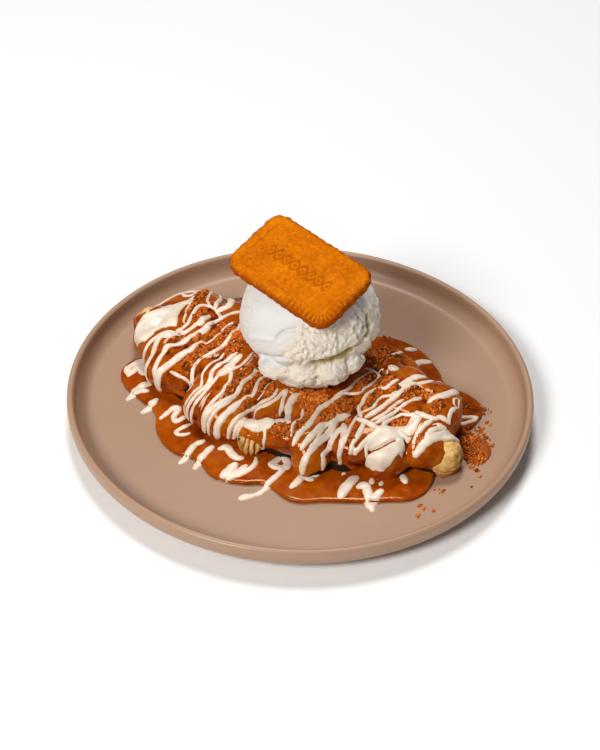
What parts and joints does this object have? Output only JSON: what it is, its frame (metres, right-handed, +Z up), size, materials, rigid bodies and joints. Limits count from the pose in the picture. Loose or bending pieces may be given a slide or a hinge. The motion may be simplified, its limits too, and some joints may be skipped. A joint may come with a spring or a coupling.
{
  "type": "plated croffle",
  "caption": "Pressed croissant waffle lying in caramel sauce on a low-rimmed plate, topped with a scoop of ice cream and a caramelised biscuit.",
  "frame": {"origin": "centre of the plate's underside, on the surface it stands on", "axes": "+Z up; the croffle's long front side, which carries most of the sauce, faces -Y"},
  "size_m": [0.22, 0.22, 0.0932],
  "materials": {
    "matte_glaze": "satin warm taupe glaze on stoneware",
    "baked_dough": "golden baked dough",
    "caramel_sauce": "glossy thick caramel",
    "milk_sauce": "glossy pale condensed milk drizzle",
    "vanilla_ice_cream": "soft frosty ice cream",
    "caramelised_biscuit": "dry baked biscuit",
    "biscuit_crumbs": "dry sugary crumbs"
  },
  "bodies": {
    "root": {"plate": "matte_glaze", "croffle": "baked_dough", "caramel_pool": "caramel_sauce", "ice_cream": "vanilla_ice_cream", "biscuit": "caramelised_biscuit", "crumb_heap": "biscuit_crumbs"}
  },
  "joints": []
}
